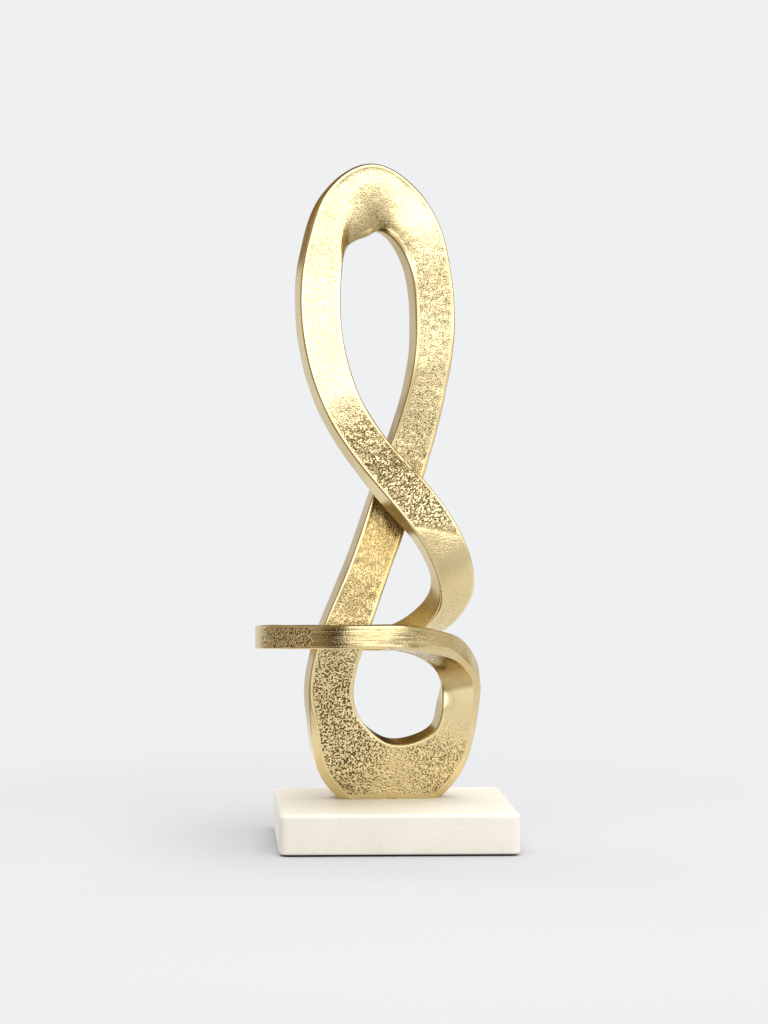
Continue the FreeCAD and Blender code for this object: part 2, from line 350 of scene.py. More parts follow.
def listed_stations(rows, middle_x, spread):
    """Stations of one table: middle_x is where its first numbers start, and spread is their whole."""
    stations = []
    for x, y, z, turn, nod, width, bevel_width, bevel_depth, grain, coarse, side_grain in rows:
        stations.append({
            "centre": np.array([middle_x + x * spread, y * RING_DIAMETER, BASE_TOP + z * KNOT_HEIGHT]),
            "normal": face_normal(turn, nod),
            "width": width * RIBBON_WIDTH,
            "bevel": (bevel_width * RIBBON_THICKNESS, bevel_depth * RIBBON_THICKNESS),
            "finish": (grain, coarse, side_grain),
        })
    return stations


def ring_stations(middle_x):
    """Stations round the flat ring, which leans forward a little and lies at one height."""
    middle_radius = (RING_DIAMETER - RING_FACE_WIDTH) / 2
    stations = []
    for angle, grain, coarse, side_grain in RING_STATIONS:
        x = middle_radius * math.cos(math.radians(angle))
        y = middle_radius * math.sin(math.radians(angle))
        z = BASE_TOP + RING_HEIGHT_SHARE * KNOT_HEIGHT - y * math.tan(RING_TILT)
        stations.append({
            "centre": np.array([middle_x + x, y, z]),
            "normal": np.array([0, -math.sin(RING_TILT), -math.cos(RING_TILT)]),
            "width": RING_FACE_WIDTH,
            "bevel": (EDGE_CHAMFER, EDGE_CHAMFER),
            "finish": (grain, coarse, side_grain),
        })
    return stations


def ribbon_stations():
    """All stations of the closed ribbon, from the middle of the foot and back to it."""
    ring_middle = RING_CENTRE_SHARE * KNOT_WIDTH
    stations = listed_stations(FOOT_TO_CURL_SHARES, 0, KNOT_WIDTH)
    stations += listed_stations(INTO_RING_SHARES, ring_middle, RING_DIAMETER)
    stations += ring_stations(ring_middle)
    stations += listed_stations(OUT_OF_RING_SHARES, ring_middle, RING_DIAMETER)
    stations += listed_stations(RING_TO_FOOT_SHARES, 0, KNOT_WIDTH)
    return stations


def unit(vectors):
    """The same directions at length 1."""
    return vectors / np.linalg.norm(vectors, axis=-1, keepdims=True)


def smooth_step(low, high, value):
    """Rises softly from 0 at low to 1 at high."""
    share = np.clip((value - low) / (high - low), 0, 1)
    return share * share * (3 - 2 * share)


def closed_curve(values, knots, places):
    """Smooth closed curve through the values at the knots, read at the places: a cubic spline."""
    count = len(values)
    step = np.diff(knots)
    matrix = np.zeros((count, count))
    bent = np.zeros(values.shape)
    for i in range(count):
        following = (i + 1) % count
        matrix[i, i - 1] = step[i - 1]
        matrix[i, i] = 2 * (step[i - 1] + step[i])
        matrix[i, following] = step[i]
        leaving = (values[following] - values[i]) / step[i]
        arriving = (values[i] - values[i - 1]) / step[i - 1]
        bent[i] = 6 * (leaving - arriving)
    bend = np.linalg.solve(matrix, bent)
    span = np.clip(np.searchsorted(knots, places, side="right") - 1, 0, count - 1)
    following = (span + 1) % count
    width = step[span][:, None]
    before = (places - knots[span])[:, None]
    after = width - before
    curve = (bend[span] * after ** 3 + bend[following] * before ** 3) / (6 * width)
    curve += (values[span] / width - bend[span] * width / 6) * after
    curve += (values[following] / width - bend[following] * width / 6) * before
    return curve


def even_places(centres, knots):
    """Places on the knots' scale that lie evenly along the ribbon's middle line, and its length."""
    fine = np.linspace(0, knots[-1], MEASURED_FINER * RINGS + 1)
    line = closed_curve(centres, knots, fine)
    length = np.concatenate([[0], np.cumsum(np.linalg.norm(np.diff(line, axis=0), axis=1))])
    return np.interp(np.linspace(0, length[-1], RINGS + 1), length, fine), length[-1]


def read_ribbon():
    """The ribbon's corners, face normals and finish, each read at every ring of the skin."""
    stations = ribbon_stations()
    centres = np.array([s["centre"] for s in stations])
    normals = np.array([s["normal"] for s in stations])
    half = np.array([s["width"] for s in stations])[:, None] / 2
    bevel = np.array([s["bevel"] for s in stations])
    plain = np.full(bevel.shape, EDGE_CHAMFER)
    arriving = centres - np.roll(centres, 1, 0)
    leaving = np.roll(centres, -1, 0) - centres
    before = np.linalg.norm(arriving, axis=1, keepdims=True)
    after = np.linalg.norm(leaving, axis=1, keepdims=True)
    along = unit(arriving * after / before + leaving * before / after)
    normals = unit(normals - along * np.sum(normals * along, axis=1, keepdims=True))
    across = np.cross(along, normals)
    knots = np.concatenate([[0], np.cumsum(after[:, 0] ** SPACING_POWER)])
    places, length = even_places(centres, knots)

    def read(values):
        return closed_curve(values, knots, places)

    def corner(point, inward, onward, sizes):
        """Where an edge's rounding or bevel begins, the edge itself, and where it ends."""
        return read(point + inward * sizes[:, :1]), read(point), read(point + onward * sizes[:, 1:])

    depth = normals * RIBBON_THICKNESS
    inner = centres + across * half
    outer = centres - across * half
    return {
        "corners": [
            corner(inner, -normals, -across, plain),
            corner(outer, across, -normals, bevel),
            corner(outer - depth, normals, across, plain),
            corner(inner - depth, -across, normals, plain),
        ],
        "normals": unit(read(normals)),
        "bevel": read(bevel).mean(1),
        "finish": np.clip(read(np.array([s["finish"] for s in stations])), 0, 1),
        "along": np.linspace(0, 1, RINGS + 1),
        "length": length,
    }


def shares_over(width, count):
    """Shares of the way over a strip at every ring, with closer lines beside its edges."""
    border = np.minimum((CREASE_BORDER + CREASE_SLOPE) / width, WIDEST_BORDER_SHARE)
    near = [border * share for share in CREASE_LINE_SHARES]
    far = [1 - border * share for share in reversed(CREASE_LINE_SHARES[1:])]
    between = count - len(near) - len(far)
    middle = [border + (1 - 2 * border) * step / (between + 1) for step in range(1, between + 1)]
    return near + middle + far


def skin_lines(ribbon):
    """Lines of the skin along the ribbon: what each lies on, its share of the way over, its points."""
    lines = []
    flat_from, flat_by = FLAT_BEVEL_TIMES
    flat = smooth_step(flat_from * EDGE_CHAMFER, flat_by * EDGE_CHAMFER, ribbon["bevel"])[:, None]
    strips = {"front": FRONT_POINTS, "outer": SIDE_POINTS, "back": BACK_POINTS, "inner": SIDE_POINTS}
    for index, (kind, count) in enumerate(strips.items()):
        begins, corner, ends = ribbon["corners"][index]
        facet = flat if kind == "outer" else np.zeros(flat.shape)
        for share in CORNER_SHARES:
            rounded = begins * (1 - share) ** 2 + corner * 2 * share * (1 - share) + ends * share ** 2
            straight = begins * (1 - share) + ends * share
            points = rounded * (1 - facet) + straight * facet
            lines.append((kind + "_corner", np.full(RINGS + 1, share), points))
        following = ribbon["corners"][(index + 1) % len(strips)][0]
        width = np.linalg.norm(following - ends, axis=1)
        for share in shares_over(width, count):
            lines.append((kind, share, ends * (1 - share[:, None]) + following * share[:, None]))
    return lines


def dish_loop_top(lines, normals):
    """Dishes the face at the top of the loop back towards the hole, as the loop turns over there.
    Gives the new lines, and how deep each of their points was dished as a share of the deepest."""
    dished, depths = [], []
    for kind, share, points in lines:
        from_hole = {"front": 1 - share, "outer_corner": 0, "outer": 0}.get(kind)
        dish = np.zeros(RINGS + 1)
        if from_hole is not None:
            x, z = points[:, 0], points[:, 2]
            reach = smooth_step(DISH_RIDGE_X, DISH_RIDGE_X + DISH_RIDGE_WIDTH, x)
            reach *= 1 - smooth_step(DISH_FADE_X, DISH_FADE_X + DISH_FADE_WIDTH, x)
            reach *= smooth_step(DISH_LOW_Z, DISH_LOW_Z + DISH_RISE, z)
            dish = reach * np.clip(1 - from_hole / DISH_REACH_SHARE, 0, 1) ** DISH_POWER
            if kind == "outer":
                dish = dish * (1 - share)
            points = points - normals * DISH_DEPTH * dish[:, None]
        dished.append((kind, share, points))
        depths.append(dish)
    return dished, np.array(depths)


def stretch(along, shares, starting, ending):
    """1 between two shares of the ribbon's length, with a soft change of given length past each."""
    starts, ends = shares
    begun = smooth_step(starts, starts + starting, along)
    return begun * (1 - smooth_step(ends, ends + ending, along))


def brush_marks(ribbon, lines):
    """How strong the brush lines are: most on part of the ring's outer side, hardly on wide faces."""
    ring = stretch(ribbon["along"], BRUSHED_SHARES, SHARP_CHANGE_SHARE, SLOW_CHANGE_SHARE)
    strength = {
        "outer": BRUSHED_SIDE + (1 - BRUSHED_SIDE) * ring,
        "inner": np.full(RINGS + 1, BRUSHED_SIDE),
    }
    plain = np.full(RINGS + 1, BRUSHED_FACE)
    return np.array([strength.get(kind, plain) for kind, _, _ in lines])


def painted_shade_strength(ribbon, lines):
    """How much shade and dark reflection is painted into the gold: in the holes, on stretches of the
    front face, and on one bevel.
    """
    along = ribbon["along"]
    face = np.interp(along, PAINTED_SHADE_SHARES, PAINTED_SHADE_STRENGTHS)
    strength = {
        "front": face,
        "inner_corner": face,
        "outer_corner": np.interp(along, BEVEL_PAINTED_SHADE_SHARES, SIDE_PAINTED_SHADES),
        "outer": np.interp(along, LOOP_HOLE_SHARES, SIDE_PAINTED_SHADES),
        "inner": np.interp(along, LOWER_HOLE_SHARES, SIDE_PAINTED_SHADES),
    }
    plain = np.zeros(RINGS + 1)
    return np.array([strength.get(kind, plain) for kind, _, _ in lines])


def left_of_ridge(points):
    """Where the face lies left of the ridge at the loop's top, and its grain is dressed down a little."""
    left = 1 - smooth_step(DISH_RIDGE_X, DISH_RIDGE_X + DISH_RIDGE_WIDTH, points[:, 0])
    return left * smooth_step(*RIDGE_DRESSED_Z, points[:, 2])


def grain_on_outer_side(along):
    """The ring's outer side is pitted for a stretch that ends sharply, and speckled past its middle."""
    pitted = stretch(along, PITTED_SHARES, SLOW_CHANGE_SHARE, SHARP_CHANGE_SHARE)
    speckled = stretch(along, SPECKLED_SHARES, SLOW_CHANGE_SHARE, SLOW_CHANGE_SHARE)
    return pitted + SPECKLED_STRENGTH * speckled


def face_width(lines, kind):
    """How wide one of the wide faces is at every ring, from its first line to its last."""
    across = [points for other, _, points in lines if other == kind]
    return np.linalg.norm(across[-1] - across[0], axis=1)


def grain_strength(ribbon, lines):
    """How strong the cast grain is at every point of the skin: on the wide faces and the outer side."""
    along = ribbon["along"]
    widths = {kind: face_width(lines, kind) for kind in ("front", "back")}
    strip_top = BASE_TOP + FOOT_STRIP
    grain = np.zeros((len(lines), RINGS + 1))
    for row, (kind, share, points) in enumerate(lines):
        if kind in widths:
            from_edge = np.minimum(share, 1 - share) * widths[kind]
            starts = CREASE_BORDER * (BORDER_TIMES_WHERE_FINEST - ribbon["finish"][:, 1])
            border = smooth_step(starts, starts + CREASE_SLOPE, from_edge)
            curl = CRINKLE_END_SHARE + CRINKLE_END_SLANT_SHARE * share
            ended = smooth_step(curl, curl + CRINKLE_END_CHANGE_SHARE, along)
            ended = ended * (along < CURL_END_SHARE)
            strength = ribbon["finish"][:, 0]
            strength = strength * (1 - ended) + np.minimum(strength, CURL_GRAIN) * ended
            if kind == "front":
                strength = strength * (1 - RIDGE_DRESSED * left_of_ridge(points))
            grain[row] = strength * border
        elif kind == "outer":
            grain[row] = np.maximum(ribbon["finish"][:, 2], grain_on_outer_side(along))
        grain[row] *= smooth_step(strip_top - CREASE_SLOPE, strip_top, points[:, 2])
    return grain


def uneven(points, length):
    """Smooth unevenness between about -1 and 1 at every point, with lumps of the given length."""
    return np.array([noise.noise(Vector(p)) for p in points / length]) * NOISE_STRETCH


def cast_knot():
    """The whole casting: one closed ribbon, skinned round its section, roughened, and cut flat."""
    ribbon = read_ribbon()
    lines, dish = dish_loop_top(skin_lines(ribbon), ribbon["normals"])
    # Shade and dark reflection painted into the gold: in the dish, and on the listed stretches
    painted_shade = np.maximum(DISH_PAINTED_SHADE * dish, painted_shade_strength(ribbon, lines))
    grain = grain_strength(ribbon, lines)
    around = len(lines)
    bm = bmesh.new()
    bm.loops.layers.uv.new("ribbon_run")
    bmesh.ops.create_grid(bm, x_segments=RINGS, y_segments=around, size=GRID_HALF, calc_uvs=True)
    mesh = bpy.data.meshes.new("knot_skin")
    bm.to_mesh(mesh)
    bm.free()
    place = np.zeros(len(mesh.vertices) * 3)
    mesh.vertices.foreach_get("co", place)
    place = place.reshape(-1, 3)
    ring = np.rint((place[:, 0] + GRID_HALF) * RINGS).astype(int)
    line = np.rint((place[:, 1] + GRID_HALF) * around).astype(int) % around
    skin = np.array([points for _, _, points in lines])
    mesh.vertices.foreach_set("co", skin[line, ring].ravel())
    mesh.update()
    finish = {
        "cast_grain": grain[line, ring],
        "grain_coarseness": ribbon["finish"][ring, 1],
        "brushed": brush_marks(ribbon, lines)[line, ring],
        "painted_shade": painted_shade[line, ring],
    }
    for name, values in finish.items():
        attribute = mesh.attributes.new(name, "FLOAT", "POINT")
        attribute.data.foreach_set("value", values.astype(np.float32))
    bm = bmesh.new()
    bm.from_mesh(mesh)
    bmesh.ops.remove_doubles(bm, verts=bm.verts, dist=SKIN_DOUBLE)
    bmesh.ops.recalc_face_normals(bm, faces=bm.faces)
    bm.normal_update()
    roughen(bm)
    cut = bmesh.ops.bisect_plane(
        bm, geom=bm.verts[:] + bm.edges[:] + bm.faces[:], dist=SKIN_DOUBLE,
        plane_co=(0, 0, BASE_TOP), plane_no=(0, 0, -1), clear_outer=True)
    rim = [g for g in cut["geom_cut"] if isinstance(g, bmesh.types.BMEdge)]
    bmesh.ops.holes_fill(bm, edges=rim, sides=0)
    bmesh.ops.recalc_face_normals(bm, faces=bm.faces)
    for face in bm.faces:
        face.smooth = abs(face.calc_center_median().z - BASE_TOP) > SKIN_DOUBLE
    bm.to_mesh(mesh)
    bm.free()
    scale_run(mesh, ribbon["length"], lines)
    knot = bpy.data.objects.new("cast_knot", mesh)
    bpy.context.scene.collection.objects.link(knot)
    return knot


def roughen(bm):
    """Moves the skin in and out along its own normals: waves, lumps under the grain, its recess."""
    masks = bm.verts.layers.float["cast_grain"]
    coarseness = bm.verts.layers.float["grain_coarseness"]
    verts = bm.verts[:]
    points = np.array([v.co for v in verts])
    grain = np.array([v[masks] for v in verts])
    coarse = np.array([v[coarseness] for v in verts])
    recess = GRAIN_RECESS * np.minimum(grain / FULL_RECESS_GRAIN, 1)
    push = WAVE_HEIGHT * uneven(points, WAVE_LENGTH) - recess
    push += LUMP_HEIGHT * (LUMP_SHARE_WHERE_FINE + coarse) * grain * uneven(points, LUMP_LENGTH)
    low = np.clip(1 - (points[:, 2] - BASE_TOP) / FOOT_STRIP, 0, 1)
    push -= FOOT_STRIP_LEAN * low
    for vert, step in zip(verts, push):
        vert.co += vert.normal * float(step)


def scale_run(mesh, length, lines):
    """Gives the run map real sizes: metres along the ribbon, and metres round a plain section."""
    around = len(lines)
    starts = np.cumsum([0, RIBBON_WIDTH, RIBBON_THICKNESS, RIBBON_WIDTH, RIBBON_THICKNESS])
    order = [kind.split("_")[0] for kind, _, _ in lines]
    kinds = list(dict.fromkeys(order))
    metres = np.zeros(around + 1)
    for row, (kind, share, _) in enumerate(lines):
        index = kinds.index(order[row])
        whole = starts[index + 1] - starts[index]
        if kind.endswith("_corner"):
            metres[row] = starts[index] + (share.mean() - 1) * EDGE_CHAMFER
        else:
            metres[row] = starts[index] + share.mean() * (whole - EDGE_CHAMFER)
    metres[around] = starts[-1] - EDGE_CHAMFER
    run = mesh.uv_layers["ribbon_run"].uv
    places = np.zeros(len(run) * 2, np.float32)
    run.foreach_get("vector", places)
    places = places.reshape(-1, 2)
    places[:, 0] *= length
    places[:, 1] = np.interp(places[:, 1] * around, np.arange(around + 1), metres) + EDGE_CHAMFER
    run.foreach_set("vector", places.ravel())


def linear(code):
    """An sRGB hex colour as the linear values that the shaders take."""
    parts = [int(code[i:i + 2], 16) / 255 for i in (1, 3, 5)]
    return [c / 12.92 if c <= 0.04045 else ((c + 0.055) / 1.055) ** 2.4 for c in parts] + [1.0]


def add(tree, kind, inputs=None, ramp=None, **settings):
    """Adds one node with its settings, its values and its links."""
    made = tree.nodes.new(kind)
    for name, value in settings.items():
        setattr(made, name, value)
    for name, value in (inputs or {}).items():
        if isinstance(value, bpy.types.NodeSocket):
            tree.links.new(value, made.inputs[name])
        else:
            made.inputs[name].default_value = value
    if ramp:
        stops = made.color_ramp.elements
        while len(stops) < len(ramp):
            stops.new(1.0)
        for stop, (position, colour) in zip(stops, ramp):
            stop.position = position
            stop.color = colour if isinstance(colour, list) else [colour, colour, colour, 1.0]
    return made


def new_material(name):
    """A material with nothing in it yet but its output."""
    material = bpy.data.materials.new(name)
    material.use_nodes = True
    tree = material.node_tree
    tree.nodes.clear()
    output = add(tree, "ShaderNodeOutputMaterial")
    return material, tree, output


def finish_with(tree, output, shader):
    """Makes a shader what the surface shows."""
    tree.links.new(shader.outputs[0], output.inputs["Surface"])


def sand_cast_gold():
    """Aluminium cast in sand and coloured champagne gold. The wide faces keep the sand's pebbled grain,
    which sparkles; the narrow sides are ground and brushed, so they shine in soft streaks."""
    material, tree, output = new_material("champagne_gold_sand_cast_aluminium")
    place = add(tree, "ShaderNodeTexCoord").outputs["Object"]
    run = add(tree, "ShaderNodeUVMap", uv_map="ribbon_run").outputs["UV"]
    grain = add(tree, "ShaderNodeAttribute", attribute_name="cast_grain").outputs["Fac"]
    coarse = add(tree, "ShaderNodeAttribute", attribute_name="grain_coarseness").outputs["Fac"]

    # Pebbled grain of moulding sand, finer where the sand was rammed harder. Where it is coarsest it
    # turns to crinkles that lie across the ribbon
    fine, large = (add(tree, "ShaderNodeTexNoise", {
        "Vector": place, "Scale": 1 / size, "Detail": PEBBLE_DETAIL}) for size in PEBBLE_SIZES)
    larger = add(tree, "ShaderNodeMapRange", {
        "Value": coarse, "From Min": LARGER_COARSENESS[0], "From Max": LARGER_COARSENESS[1]})
    pebbles = add(tree, "ShaderNodeMix", {
        "Factor": larger.outputs[0], FIRST_NUMBER: fine.outputs["Fac"],
        SECOND_NUMBER: large.outputs["Fac"]}, data_type="FLOAT")
    stretched = add(tree, "ShaderNodeMapping", {
        "Vector": run, "Scale": (1 / CRINKLE_WIDTH, 1 / CRINKLE_LENGTH, 1.0)}, vector_type="POINT")
    crinkles = add(tree, "ShaderNodeTexNoise", {"Vector": stretched.outputs[0], **CRINKLE_NOISE})
    crinkled = add(tree, "ShaderNodeMapRange", {
        "Value": coarse, "From Min": CRINKLED_COARSENESS[0], "From Max": CRINKLED_COARSENESS[1]})
    grains = add(tree, "ShaderNodeMix", {
        "Factor": crinkled.outputs[0], FIRST_NUMBER: pebbles.outputs[0],
        SECOND_NUMBER: crinkles.outputs["Fac"]}, data_type="FLOAT")
    tops = add(tree, "ShaderNodeMapRange", {
        "Value": pebbles.outputs[0], "From Min": PEBBLE_TOPS[0], "From Max": PEBBLE_TOPS[1],
        "To Max": PEBBLE_HEIGHT / CRINKLE_HEIGHT}, interpolation_type="SMOOTHSTEP")
    rise = add(tree, "ShaderNodeMapRange", {
        "Value": coarse, "From Min": HIGHER_COARSENESS[0], "From Max": HIGHER_COARSENESS[1],
        "To Min": PEBBLE_HEIGHT_WHERE_FINE})
    raised = add(tree, "ShaderNodeMath", {0: tops.outputs[0], 1: rise.outputs[0]}, operation="MULTIPLY")
    ridges = add(tree, "ShaderNodeMapRange", {
        "Value": crinkles.outputs["Fac"], "From Min": CRINKLE_TOPS[0], "From Max": CRINKLE_TOPS[1]},
        interpolation_type="SMOOTHSTEP")
    height = add(tree, "ShaderNodeMix", {
        "Factor": crinkled.outputs[0], FIRST_NUMBER: raised.outputs[0],
        SECOND_NUMBER: ridges.outputs[0]}, data_type="FLOAT")
    depth = add(tree, "ShaderNodeMath", {0: height.outputs[0], 1: grain}, operation="MULTIPLY")
    pebbled = add(tree, "ShaderNodeBump", {
        "Strength": 1.0, "Distance": CRINKLE_HEIGHT, "Height": depth.outputs[0]})

    # Brush lines run along the ribbon on its narrow sides. Real ones are finer than the render shows
    lines = add(tree, "ShaderNodeMapping", {
        "Vector": run, "Scale": (1 / BRUSH_LENGTH, 1 / BRUSH_WIDTH, 1.0)}, vector_type="POINT")
    brushing = add(tree, "ShaderNodeTexNoise", {"Vector": lines.outputs[0], **BRUSH_NOISE})
    brushed = add(tree, "ShaderNodeAttribute", attribute_name="brushed").outputs["Fac"]
    streaks = add(tree, "ShaderNodeMath", {
        0: brushing.outputs["Fac"], 1: brushed}, operation="MULTIPLY")
    surface = add(tree, "ShaderNodeBump", {
        "Strength": 1.0, "Distance": BRUSH_HEIGHT, "Height": streaks.outputs[0],
        "Normal": pebbled.outputs[0]})

    # Shade is painted darker into the pits and into the deepest brush lines, over a gold that changes
    # slowly, and painted shade and dark reflection make the gold deeper as a whole on some stretches. The
    # brushed sides change in gloss from line to line
    pit_edge = add(tree, "ShaderNodeMapRange", {
        "Value": coarse, "From Min": HIGHER_COARSENESS[0], "From Max": HIGHER_COARSENESS[1],
        "To Min": PIT_EDGE[0], "To Max": PIT_EDGE[1]})
    pit_floor = add(tree, "ShaderNodeMath", {
        0: pit_edge.outputs[0], 1: PIT_SOFTNESS}, operation="SUBTRACT")
    pits = add(tree, "ShaderNodeMapRange", {
        "Value": grains.outputs[0], "From Min": pit_floor.outputs[0], "From Max": pit_edge.outputs[0],
        "To Min": 1.0, "To Max": 0.0})
    pit_share = add(tree, "ShaderNodeMath", {0: pits.outputs[0], 1: grain}, operation="MULTIPLY")
    # Shade painted into the pits, lighter where the grain is coarsest
    pit_shade_strength = add(tree, "ShaderNodeMapRange", {
        "Value": coarse, "From Min": LIGHTER_PIT_SHADE_COARSENESS[0], "From Max": LIGHTER_PIT_SHADE_COARSENESS[1],
        "To Min": PIT_PAINTED_SHADE[0], "To Max": PIT_PAINTED_SHADE[1]})
    pit_shade = add(tree, "ShaderNodeMath", {
        0: pit_share.outputs[0], 1: pit_shade_strength.outputs[0]}, operation="MULTIPLY")
    # Shade painted into the deepest brush lines
    marks = add(tree, "ShaderNodeMapRange", {
        "Value": brushing.outputs["Fac"], "From Min": STREAK_EDGE[0], "From Max": STREAK_EDGE[1],
        "To Min": STREAK_PAINTED_SHADE, "To Max": 0.0})
    streak_shade = add(tree, "ShaderNodeMath", {0: marks.outputs[0], 1: brushed}, operation="MULTIPLY")
    # Painted shade of the pits and of the brush lines together
    painted_pit_and_streak_shade = add(tree, "ShaderNodeMath", {
        0: pit_shade.outputs[0], 1: streak_shade.outputs[0]}, operation="MAXIMUM")
    change = add(tree, "ShaderNodeTexNoise", {
        "Vector": place, "Scale": 1 / GOLD_CHANGE, "Detail": GOLD_DETAIL})
    gold = add(tree, "ShaderNodeValToRGB", {"Fac": change.outputs["Fac"]}, ramp=[
        (NOISE_LOW, linear(GOLD_DEEP)), (NOISE_HIGH, linear(GOLD_PALE))])
    colour = add(tree, "ShaderNodeMix", {
        "Factor": painted_pit_and_streak_shade.outputs[0], FIRST_COLOUR: gold.outputs[0],
        SECOND_COLOUR: linear(GOLD_PIT_SHADE)}, data_type="RGBA")
    # Painted shade and dark reflection that deepen the gold on some stretches
    painted_shade = add(tree, "ShaderNodeAttribute", attribute_name="painted_shade").outputs["Fac"]
    gold_under_painted_shade = add(tree, "ShaderNodeMix", {
        "Factor": painted_shade, FIRST_COLOUR: colour.outputs[MIXED_COLOUR],
        SECOND_COLOUR: linear(GOLD_PAINTED_SHADE)}, data_type="RGBA")
    streak_gloss = add(tree, "ShaderNodeMapRange", {
        "Value": brushing.outputs["Fac"], "From Min": NOISE_LOW, "From Max": NOISE_HIGH,
        "To Min": BRUSHED_ROUGHNESS[0], "To Max": BRUSHED_ROUGHNESS[1]})
    gloss = add(tree, "ShaderNodeMix", {
        "Factor": grain, FIRST_NUMBER: streak_gloss.outputs[0],
        SECOND_NUMBER: GRAIN_ROUGHNESS}, data_type="FLOAT")
    shader = add(tree, "ShaderNodeBsdfPrincipled", {
        "Base Color": gold_under_painted_shade.outputs[MIXED_COLOUR], "Metallic": 1.0, "Roughness": gloss.outputs[0],
        "Normal": surface.outputs[0]})
    finish_with(tree, output, shader)
    return material


def honed_marble():
    """Cream marble, sawn and honed: a soft satin sheen over faint warm clouds and a few fine veins."""
    material, tree, output = new_material("honed_cream_marble")
    place = add(tree, "ShaderNodeTexCoord").outputs["Object"]
    clouds = add(tree, "ShaderNodeTexNoise", {
        "Vector": place, "Scale": 1 / MARBLE_CLOUD, **MARBLE_CLOUD_NOISE})
    cream = add(tree, "ShaderNodeValToRGB", {"Fac": clouds.outputs["Fac"]}, ramp=[
        (NOISE_LOW, linear(MARBLE_WARM)), (NOISE_HIGH, linear(MARBLE_PALE))])
    bent = add(tree, "ShaderNodeTexNoise", {
        "Vector": place, "Scale": 1 / MARBLE_VEIN, **MARBLE_VEIN_NOISE})
    starts, middle, ends = MARBLE_VEIN_EDGES
    vein = add(tree, "ShaderNodeValToRGB", {"Fac": bent.outputs["Fac"]}, ramp=[
        (0.0, 0.0), (starts, 0.0), (middle, 1.0), (ends, 0.0)])
    veined = add(tree, "ShaderNodeMath", {
        0: vein.outputs[0], 1: MARBLE_VEIN_STRENGTH}, operation="MULTIPLY")
    colour = add(tree, "ShaderNodeMix", {
        "Factor": veined.outputs[0], FIRST_COLOUR: cream.outputs[0],
        SECOND_COLOUR: linear(MARBLE_GREY)}, data_type="RGBA")
    tooling = add(tree, "ShaderNodeTexNoise", {
        "Vector": place, "Scale": 1 / MARBLE_TOOLING, "Detail": MARBLE_TOOLING_DETAIL})
    honed = add(tree, "ShaderNodeBump", {
        "Strength": 1.0, "Distance": MARBLE_TOOLING_HEIGHT, "Height": tooling.outputs["Fac"]})
    gloss = add(tree, "ShaderNodeMapRange", {
        "Value": tooling.outputs["Fac"], "To Min": MARBLE_ROUGHNESS[0], "To Max": MARBLE_ROUGHNESS[1]})
    shader = add(tree, "ShaderNodeBsdfPrincipled", {
        "Base Color": colour.outputs[MIXED_COLOUR], "Roughness": gloss.outputs[0], "IOR": MARBLE_IOR,
        "Specular IOR Level": MARBLE_SPECULAR, "Normal": honed.outputs[0]})
    finish_with(tree, output, shader)
    return material


def needled_felt():
    """Black needled felt: no shine, and a nap of short fibres that catches a little light."""
    material, tree, output = new_material("black_needled_felt")
    place = add(tree, "ShaderNodeTexCoord").outputs["Object"]
    fibres = add(tree, "ShaderNodeTexNoise", {"Vector": place, "Scale": 1 / FELT_FIBRE, **FELT_NOISE})
    colour = add(tree, "ShaderNodeValToRGB", {"Fac": fibres.outputs["Fac"]}, ramp=[
        (FELT_EDGES[0], linear(FELT_BLACK)), (FELT_EDGES[1], linear(FELT_GREY))])
    nap = add(tree, "ShaderNodeBump", {
        "Strength": 1.0, "Distance": FELT_NAP, "Height": fibres.outputs["Fac"]})
    shader = add(tree, "ShaderNodeBsdfPrincipled", {
        "Base Color": colour.outputs[0], "Roughness": FELT_ROUGHNESS, **FELT_SHEEN,
        "Normal": nap.outputs[0]})
    finish_with(tree, output, shader)
    return material


def zinc_plated_steel():
    """Turned and stamped steel with bright zinc plating: cool grey, with fine turning lines."""
    material, tree, output = new_material("zinc_plated_steel")
    place = add(tree, "ShaderNodeTexCoord").outputs["Object"]
    drawn = add(tree, "ShaderNodeMapping", {
        "Vector": place, "Scale": ZINC_GRAIN_SCALE}, vector_type="POINT")
    turning = add(tree, "ShaderNodeTexNoise", {
        "Vector": drawn.outputs[0], "Scale": 1 / ZINC_GRAIN, "Detail": ZINC_DETAIL})
    colour = add(tree, "ShaderNodeValToRGB", {"Fac": turning.outputs["Fac"]}, ramp=[
        (NOISE_LOW, linear(ZINC_GREY)), (NOISE_HIGH, linear(ZINC_PALE))])
    gloss = add(tree, "ShaderNodeMapRange", {
        "Value": turning.outputs["Fac"], "To Min": ZINC_ROUGHNESS[0], "To Max": ZINC_ROUGHNESS[1]})
    marks = add(tree, "ShaderNodeBump", {
        "Strength": 1.0, "Distance": ZINC_MARK, "Height": turning.outputs["Fac"]})
    shader = add(tree, "ShaderNodeBsdfPrincipled", {
        "Base Color": colour.outputs[0], "Metallic": 1.0, "Roughness": gloss.outputs[0],
        "Normal": marks.outputs[0]})
    finish_with(tree, output, shader)
    return material


def stage_object(name, bm):
    """Makes a thing of the room, which isn't part of the object."""
    mesh = bpy.data.meshes.new(name)
    bm.to_mesh(mesh)
    bm.free()
    thing = bpy.data.objects.new(name, mesh)
    bpy.context.scene.collection.objects.link(thing)
    return thing


def background_rays(tree):
    """1 for the rays that show the background itself: the camera's, and those in gloss or glass."""
    rays = add(tree, "ShaderNodeLightPath").outputs
    seen = add(tree, "ShaderNodeMath", {
        0: rays["Is Camera Ray"], 1: rays["Is Glossy Ray"]}, operation="MAXIMUM")
    return add(tree, "ShaderNodeMath", {
        0: seen.outputs[0], 1: rays["Is Transmission Ray"]}, operation="MAXIMUM").outputs[0]


